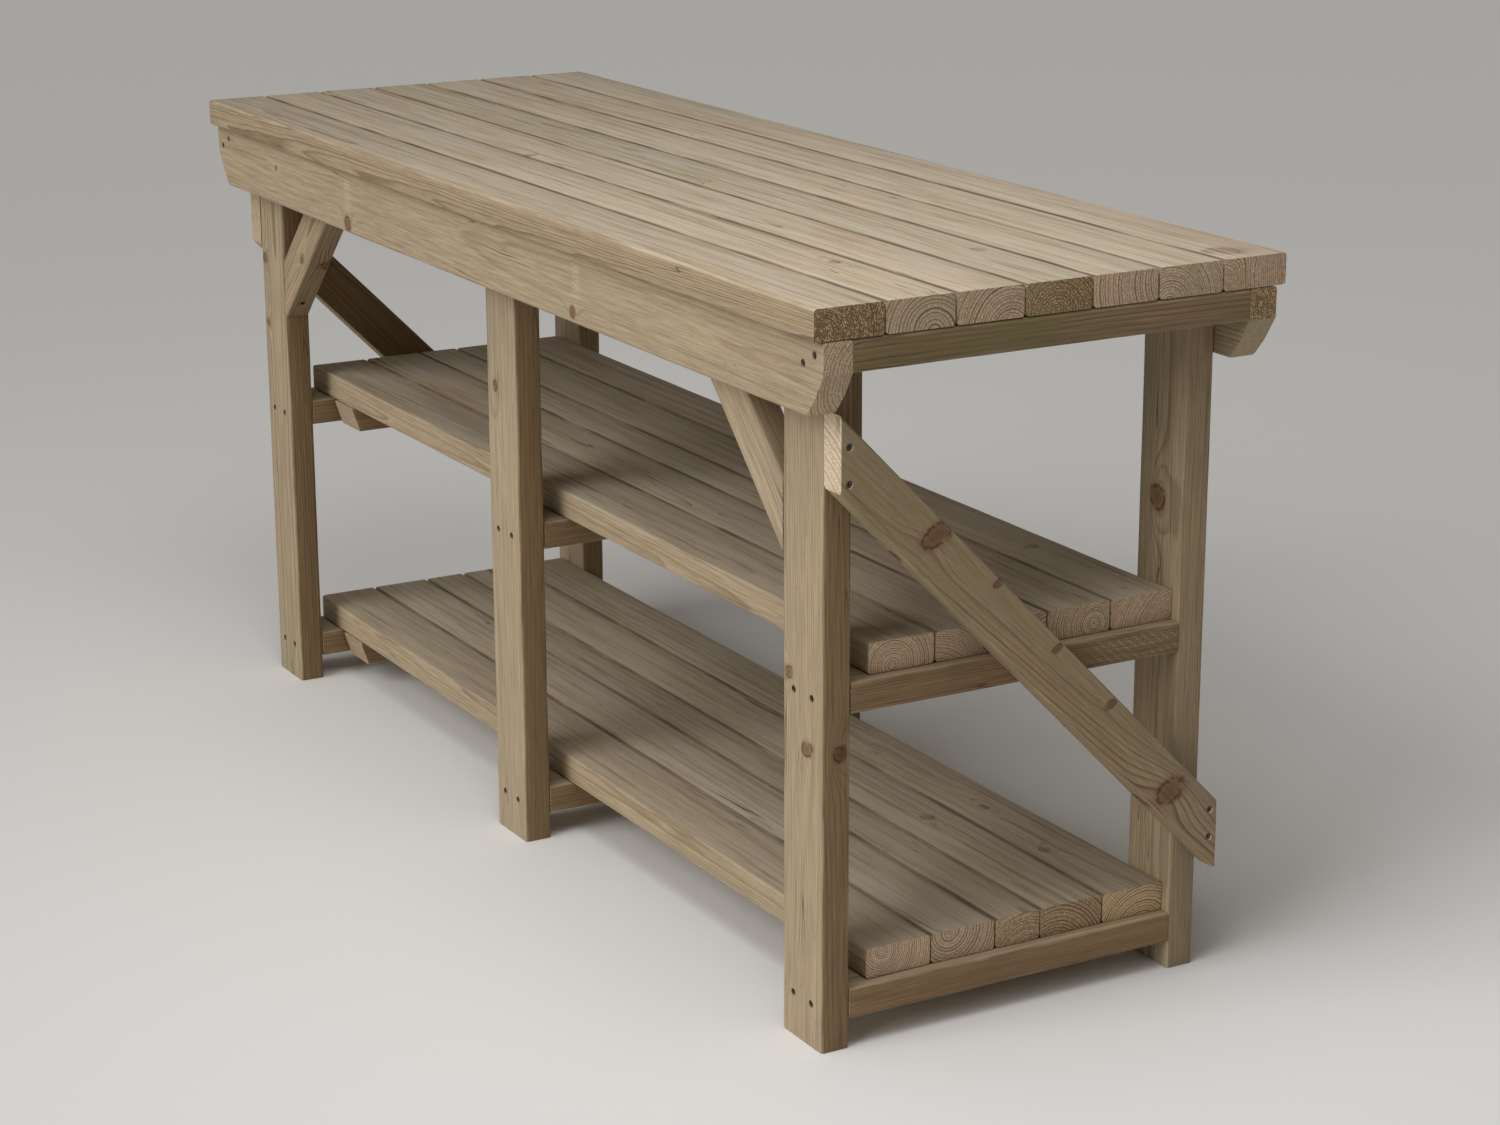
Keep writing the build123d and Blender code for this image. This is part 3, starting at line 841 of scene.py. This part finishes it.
def wander(timber):
    """Let the planed faces and edges wander inwards a little."""
    texture = bpy.data.textures.get("Planing") or bpy.data.textures.new("Planing", "CLOUDS")
    texture.noise_scale = 0.09
    texture.noise_depth = 2
    only(timber)
    modifier = timber.modifiers.new("Planing", "DISPLACE")
    modifier.texture = texture
    modifier.texture_coords = "LOCAL"
    modifier.mid_level = 1.0
    modifier.strength = sizes().planing
    bpy.ops.object.modifier_apply(modifier=modifier.name)


HEAD_RADIUS = 0.0047
SHANK_RADIUS = 0.0025
BORE_ROOM = 0.0015  # past the screw's point
BORE_ABOVE = 0.004  # past the screw's head, out of the timber
BORE_PROBES = 8  # steps along a screw at which it is looked for in a timber
BORE_MARGIN = 0.003


def bore_shape(length):
    """The shape of a countersunk bore, its screw's head at the origin, pointing down."""
    bpy.ops.object.select_all(action="DESELECT")
    bpy.ops.mesh.primitive_cylinder_add(
        vertices=sizes().bore_sides, radius=HEAD_RADIUS, depth=BORE_ABOVE, location=(0, 0, BORE_ABOVE / 2)
    )
    bore = bpy.context.object
    bpy.ops.object.transform_apply(location=True, rotation=True, scale=True)
    neck = HEAD_RADIUS - SHANK_RADIUS
    narrowing = SHANK_RADIUS / HEAD_RADIUS
    bpy.ops.object.mode_set(mode="EDIT")
    pick("FACE", lambda face: face.normal.z < -0.9)
    bpy.ops.mesh.extrude_region_move(TRANSFORM_OT_translate={"value": (0, 0, -neck)})
    bpy.ops.transform.resize(value=(narrowing, narrowing, 1), center_override=(0, 0, -neck))
    bpy.ops.mesh.extrude_region_move(TRANSFORM_OT_translate={"value": (0, 0, neck - length - BORE_ROOM)})
    bpy.ops.object.mode_set(mode="OBJECT")
    return bore


def find_bores():
    """Head, direction and length of every screw, read from the screws' own nodes."""
    found = []
    for name in sorted(node for node in NODES if node.endswith("_screws")):
        only(NODES[name])
        bpy.ops.object.duplicate()
        bpy.ops.object.mode_set(mode="EDIT")
        bpy.ops.mesh.select_all(action="SELECT")
        bpy.ops.mesh.remove_doubles(threshold=1e-6)
        bpy.ops.mesh.separate(type="LOOSE")
        bpy.ops.object.mode_set(mode="OBJECT")
        loose = list(bpy.context.selected_objects)
        for screw in loose:
            points = [v.co for v in screw.data.vertices]
            middle = sum(points, Vector()) / len(points)
            tip = max(points, key=lambda p: (p - middle).length)
            way = (middle - tip).normalized()
            length = max((p - tip).dot(way) for p in points)
            found.append((tip + way * length, way, length))
        only(*loose)
        bpy.ops.object.delete()
    return found


def drill(timber, spot, bores, shapes):
    """Cut this timber's screw holes."""
    inverse = spot.turn.transposed()
    cutters = []
    for head, way, length in bores:
        reached = False
        for step in range(BORE_PROBES + 1):
            local = inverse @ (head - way * length * step / BORE_PROBES - spot.centre)
            reached |= all(abs(local[i]) < spot.size[i] / 2 + BORE_MARGIN for i in range(3))
        if not reached:
            continue
        key = round(length, 3)
        if key not in shapes:
            shapes[key] = bore_shape(length)
        cutter = bpy.data.objects.new("bore", shapes[key].data.copy())
        cutter.data.transform(Matrix.Translation(head) @ way.to_track_quat("Z", "Y").to_matrix().to_4x4())
        bpy.context.collection.objects.link(cutter)
        cutters.append(cutter)
    if not cutters:
        return
    only(*cutters)
    if len(cutters) > 1:
        bpy.ops.object.join()
    cutter = bpy.context.object
    only(timber)
    modifier = timber.modifiers.new("Bores", "BOOLEAN")
    modifier.operation = "DIFFERENCE"
    modifier.solver = "EXACT"
    modifier.object = cutter
    bpy.ops.object.modifier_apply(modifier=modifier.name)
    only(cutter)
    bpy.ops.object.delete()


def finish_timber(timber, spot):
    """The last steps of every timber: ends, planing, bores, shading, material, place."""
    node = timber.name.removesuffix("_timber")
    soften_ends(timber, spot.turn.col[0])
    wander(timber)
    drill(timber, spot, Workshop.bores(), Workshop.shapes)
    only(timber)
    bpy.ops.object.shade_smooth_by_angle(angle=SMOOTH)
    timber.data.materials.clear()
    timber.data.materials.append(timber_material(node, spot, sawn_as(node, spot.size.x)))
    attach(timber, "root")
    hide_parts(node)


def make_straight(nodes, grain, across):
    """Make the timbers that lie square in the frame and are only sawn to length."""
    for node in nodes:
        spot = straight_spot(node, grain, across)
        finish_timber(saw_block(f"{node}_timber", spot), spot)


class Workshop:
    """What the operators share: the screws that were found, and the drills made for them."""

    found = None
    shapes = {}

    @classmethod
    def bores(cls):
        if cls.found is None:
            cls.found = find_bores()
        return cls.found

    @classmethod
    def clear_away(cls):
        """Delete the drill shapes."""
        for shape in cls.shapes.values():
            bpy.data.objects.remove(shape)
        cls.shapes = {}


# ------------------------------------------------------------ operators
# The lower corner of an apron: points in from its end and down from its top
CORNER = ((0.0, 0.037), (0.013, 0.060), (0.037, 0.089))


class BENCH_OT_top_boards(bpy.types.Operator):
    """Lay the seven boards of the work top"""

    bl_idname = "bench.top_boards"
    bl_label = "Top boards"

    def execute(self, context):
        boards = [f"top_board_{number}" for number in range(1, 8)]
        make_straight(boards, ALONG, ACROSS)
        return {"FINISHED"}


class BENCH_OT_aprons(bpy.types.Operator):
    """Hang the front and back aprons, their lower corners sawn off and rounded"""

    bl_idname = "bench.aprons"
    bl_label = "Aprons"

    def execute(self, context):
        for side in SIDES:
            node = f"{side}_apron"
            spot = straight_spot(node, ALONG, UP)
            timber = saw_block(f"{node}_timber", spot)
            end, top = spot.size.x / 2, spot.centre.z + spot.size.y / 2
            for way in ENDS.values():
                for (in_a, down_a), (in_b, down_b) in zip(CORNER, CORNER[1:]):
                    start = Vector((way * (end - in_a), 0, top - down_a))
                    facing = Vector((way * (down_b - down_a), 0, in_a - in_b))
                    saw_through(timber, start, facing)
            finish_timber(timber, spot)
        return {"FINISHED"}


class BENCH_OT_top_battens(bpy.types.Operator):
    """Fix the flat battens under the work top"""

    bl_idname = "bench.top_battens"
    bl_label = "Top battens"

    def execute(self, context):
        battens = [f"top_batten_{place}" for place in FRAMES]
        make_straight(battens, ACROSS, -ALONG)
        return {"FINISHED"}


class BENCH_OT_legs(bpy.types.Operator):
    """Stand the six legs"""

    bl_idname = "bench.legs"
    bl_label = "Legs"

    def execute(self, context):
        legs = [f"leg_{side}_{place}" for side in SIDES for place in FRAMES]
        make_straight(legs, UP, ALONG)
        return {"FINISHED"}


class BENCH_OT_shelf_rails(bpy.types.Operator):
    """Fix the rails that carry the shelves"""

    bl_idname = "bench.shelf_rails"
    bl_label = "Shelf rails"

    def execute(self, context):
        rails = [f"{shelf}_shelf_rail_{place}" for shelf in SHELVES for place in FRAMES]
        make_straight(rails, ACROSS, -ALONG)
        return {"FINISHED"}


class BENCH_OT_shelf_boards(bpy.types.Operator):
    """Lay the boards of both shelves"""

    bl_idname = "bench.shelf_boards"
    bl_label = "Shelf boards"

    def execute(self, context):
        boards = [f"{shelf}_shelf_board_{number}" for shelf in SHELVES for number in range(1, 6)]
        make_straight(boards, ALONG, ACROSS)
        return {"FINISHED"}


class BENCH_OT_cleats(bpy.types.Operator):
    """Fix the cleats under the shelves, the lower edges of their ends cut back"""

    bl_idname = "bench.cleats"
    bl_label = "Shelf cleats"

    def execute(self, context):
        bevel = sizes().cleat_bevel
        for shelf in SHELVES:
            for place in ENDS:
                node = f"{shelf}_shelf_cleat_{place}"
                spot = straight_spot(node, ACROSS, -ALONG)
                timber = saw_block(f"{node}_timber", spot)
                low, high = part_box(node)
                thickness = high.z - low.z
                saw_through(timber, (0, high.y, high.z), (0, thickness, -bevel))
                saw_through(timber, (0, low.y, high.z), (0, -thickness, -bevel))
                finish_timber(timber, spot)
        return {"FINISHED"}


class BENCH_OT_end_braces(bpy.types.Operator):
    """Fix the long braces across the ends, both ends sawn upright"""

    bl_idname = "bench.end_braces"
    bl_label = "End braces"

    def execute(self, context):
        wide = sizes().brace_width
        for place in ENDS:
            node = f"end_brace_{place}"
            low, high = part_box(node)
            run, tall = high.y - low.y, high.z - low.z
            # tall = run * slope + wide * sqrt(1 + slope^2), solved for the slope
            a, b, c = run**2 - wide**2, -2 * run * tall, tall**2 - wide**2
            slope = (-b - math.sqrt(b**2 - 4 * a * c)) / (2 * a)
            fall = math.atan(slope)
            grain = Vector((0, math.cos(fall), -math.sin(fall)))
            across = Vector((0, math.sin(fall), math.cos(fall)))
            length = run / math.cos(fall) + 2 * wide
            spot = Spot((low + high) / 2, grain, across, (length, wide, high.x - low.x))
            timber = saw_block(f"{node}_timber", spot)
            saw_through(timber, low, (0, -1, 0))
            saw_through(timber, high, (0, 1, 0))
            finish_timber(timber, spot)
        return {"FINISHED"}


class BENCH_OT_knee_braces(bpy.types.Operator):
    """Fix the short braces between the front legs and the work top"""

    bl_idname = "bench.knee_braces"
    bl_label = "Knee braces"

    def execute(self, context):
        wide = sizes().brace_width
        diagonal = math.sqrt(0.5)
        for place, way in ENDS.items():
            node = f"knee_brace_{place}"
            low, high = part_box(node)
            foot = Vector((high.x if way > 0 else low.x, 0, low.z))
            reach = high.x - low.x
            grain = Vector((-way * diagonal, 0, diagonal))
            across = Vector((way * diagonal, 0, diagonal))
            middle = foot + Vector((-way * reach / 2, 0, reach / 2)) + across * wide / 2
            middle.y = (low.y + high.y) / 2
            length = reach * math.sqrt(2) + 2 * wide
            spot = Spot(middle, grain, across, (length, wide, high.y - low.y))
            timber = saw_block(f"{node}_timber", spot)
            saw_through(timber, foot, (way, 0, 0))
            saw_through(timber, high, (0, 0, 1))
            finish_timber(timber, spot)
        return {"FINISHED"}


class BENCH_OT_screws(bpy.types.Operator):
    """Give every screw its plated steel"""

    bl_idname = "bench.screws"
    bl_label = "Screws"

    def execute(self, context):
        steel = steel_material()
        for name, node in NODES.items():
            if name.endswith("_screws"):
                for slot in node.material_slots:
                    slot.material = steel
        Workshop.clear_away()
        return {"FINISHED"}


FLOOR_SIZE = 60
WORLD_TINT = (1.0, 0.95, 0.88, 1.0)
WORLD_LIGHT, WORLD_SEEN = 0.175, 0.80  # strength as a light, and what the view sees on top
CAMERA_AT, CAMERA_AIM = (3.785, -2.0325, 1.5966), (0.2047, 0.0, 0.3945)
CAMERA_ROLL = math.radians(-0.184)
LENS, SENSOR = 77.7, 36.0


def hang_light(light, at, towards):
    """Put a light in the scene, turned to face a point."""
    lamp = bpy.data.objects.new(light.name, light)
    lamp.location = at
    lamp.rotation_euler = (Vector(towards) - Vector(at)).to_track_quat("-Z", "Y").to_euler()
    bpy.context.scene.collection.objects.link(lamp)


def area_light(name, at, towards, size, power):
    """A square soft light."""
    light = bpy.data.lights.new(name, "AREA")
    light.shape = "SQUARE"
    light.size = size
    light.energy = power
    hang_light(light, at, towards)


def sky_light(name, at, spread, strength):
    """A broad even light from one side, its spread in degrees."""
    light = bpy.data.lights.new(name, "SUN")
    light.angle = math.radians(spread)
    light.energy = strength
    hang_light(light, at, (0, 0, 0))


class BENCH_OT_stage(bpy.types.Operator):
    """Add the pale floor, the soft lights and the camera"""

    bl_idname = "bench.stage"
    bl_label = "Stage"

    def execute(self, context):
        bpy.ops.object.select_all(action="DESELECT")
        bpy.ops.mesh.primitive_plane_add(size=FLOOR_SIZE, location=(0, 0, 0))
        floor = context.object
        floor.name = "floor"
        material = bpy.data.materials.new("Studio floor")
        material.use_nodes = True
        shader = material.node_tree.nodes["Principled BSDF"]
        shader.inputs["Base Color"].default_value = (*colours().floor, 1.0)
        shader.inputs["Roughness"].default_value = 0.9
        floor.data.materials.append(material)

        world = bpy.data.worlds.new("Studio")
        world.use_nodes = True
        r = Recipe(world.node_tree)
        seen = r.node("ShaderNodeLightPath").outputs["Is Camera Ray"]
        glow = world.node_tree.nodes["Background"].inputs
        glow["Color"].default_value = WORLD_TINT
        r.feed(glow["Strength"], r.maths("MULTIPLY_ADD", seen, WORLD_SEEN, WORLD_LIGHT))
        context.scene.world = world
        sky_light("Key light", (0.12, -1.0, 0.6), 45, 1.64)
        area_light("Near light", (1.0, -0.6, 2.6), (0.5, 0, 0.7), 1.5, 29)

        camera = bpy.data.cameras.new("Camera")
        camera.lens = LENS
        camera.sensor_width = SENSOR
        eye = bpy.data.objects.new("Camera", camera)
        eye.location = CAMERA_AT
        look = Vector(CAMERA_AIM) - eye.location
        roll = Matrix.Rotation(CAMERA_ROLL, 3, "Z")
        eye.rotation_euler = (look.to_track_quat("-Z", "Y").to_matrix() @ roll).to_euler()
        context.scene.collection.objects.link(eye)
        context.scene.camera = eye
        context.scene.view_settings.view_transform = "Standard"
        return {"FINISHED"}


OPERATORS = (
    BENCH_OT_top_boards,
    BENCH_OT_aprons,
    BENCH_OT_top_battens,
    BENCH_OT_legs,
    BENCH_OT_shelf_rails,
    BENCH_OT_shelf_boards,
    BENCH_OT_cleats,
    BENCH_OT_end_braces,
    BENCH_OT_knee_braces,
    BENCH_OT_screws,
    BENCH_OT_stage,
)


class BENCH_PT_panel(bpy.types.Panel):
    """Lists what the bench is made of"""

    bl_idname = "BENCH_PT_panel"
    bl_label = "Potting Bench"
    bl_space_type = "VIEW_3D"
    bl_region_type = "UI"
    bl_category = "Bench"

    def draw(self, context):
        for group in (context.scene.bench_sizes, context.scene.bench_colours):
            box = self.layout.box()
            for name in group.__annotations__:
                box.prop(group, name)
        for operator in OPERATORS:
            self.layout.operator(operator.bl_idname)


CLASSES = (BenchSizes, BenchColours, *OPERATORS, BENCH_PT_panel)


def register():
    for made in CLASSES:
        bpy.utils.register_class(made)
    bpy.types.Scene.bench_sizes = PointerProperty(type=BenchSizes)
    bpy.types.Scene.bench_colours = PointerProperty(type=BenchColours)


def unregister():
    del bpy.types.Scene.bench_colours
    del bpy.types.Scene.bench_sizes
    for made in reversed(CLASSES):
        bpy.utils.unregister_class(made)


def main():
    """Build the whole bench."""
    register()
    for operator in OPERATORS:
        group, _, name = operator.bl_idname.partition(".")
        getattr(getattr(bpy.ops, group), name)()


if __name__ == "__main__":
    main()
